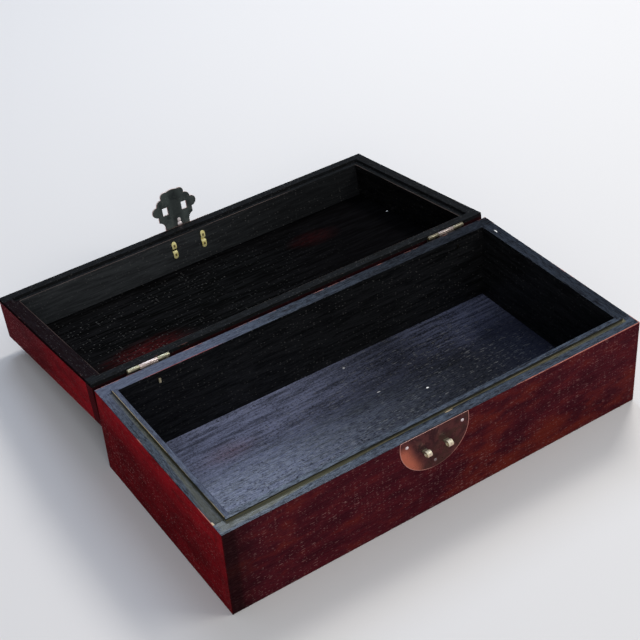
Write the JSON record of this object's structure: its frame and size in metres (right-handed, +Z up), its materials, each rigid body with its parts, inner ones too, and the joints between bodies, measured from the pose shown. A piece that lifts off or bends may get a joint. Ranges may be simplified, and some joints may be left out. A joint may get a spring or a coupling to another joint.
{
  "type": "wooden box",
  "caption": "Low rectangular hardwood box with a shallow hinged lid folded right back, a raised inner lip, and a round metal faceplate with staples and a swinging hasp flap.",
  "frame": {"origin": "centre of the body's underside, on the surface it stands on", "axes": "+X along the width to the right as seen from the front, +Y from the front to the back, +Z up"},
  "size_m": [0.36, 0.381, 0.0842],
  "materials": {
    "rosewood": "polished, open pores",
    "panel_wood": "polished, open pores",
    "copper": "polished, darkened",
    "brass": "polished",
    "bronze": "aged, worn at the edges",
    "white_metal": "polished"
  },
  "bodies": {
    "box": {"front_board": "rosewood", "back_board": "rosewood", "left_board": "rosewood", "right_board": "rosewood", "bottom_panel": "panel_wood", "hasp_plate": "copper", "hasp_plate_nails": "white_metal", "left_staple": "brass", "right_staple": "brass", "left_hinge_body_leaf": "brass", "right_hinge_body_leaf": "brass", "left_hinge_pin": "brass", "right_hinge_pin": "brass", "hinge_body_nails": "brass"},
    "lid": {"lid_front_board": "rosewood", "lid_back_board": "rosewood", "lid_left_board": "rosewood", "lid_right_board": "rosewood", "lid_top_panel": "panel_wood", "lid_plate": "copper", "lid_plate_nails": "white_metal", "left_flap_eye": "brass", "right_flap_eye": "brass", "flap_pin": "brass", "left_hinge_lid_leaf": "brass", "right_hinge_lid_leaf": "brass", "hinge_lid_nails": "brass"},
    "flap": {"hasp_flap": "bronze", "flap_knob": "white_metal"}
  },
  "joints": [
    {"name": "lid_hinge", "type": "hinge", "parent": "box", "child": "lid", "pos_m": [0, 0.0932, 0.0761], "axis": [1, 0, 0], "range_deg": [0, 188.35]},
    {"name": "flap_hinge", "type": "hinge", "parent": "lid", "child": "flap", "pos_m": [-0.01, 0.27579, 0.03656], "axis": [-1, 0, 0], "range_deg": [0, 165]}
  ]
}
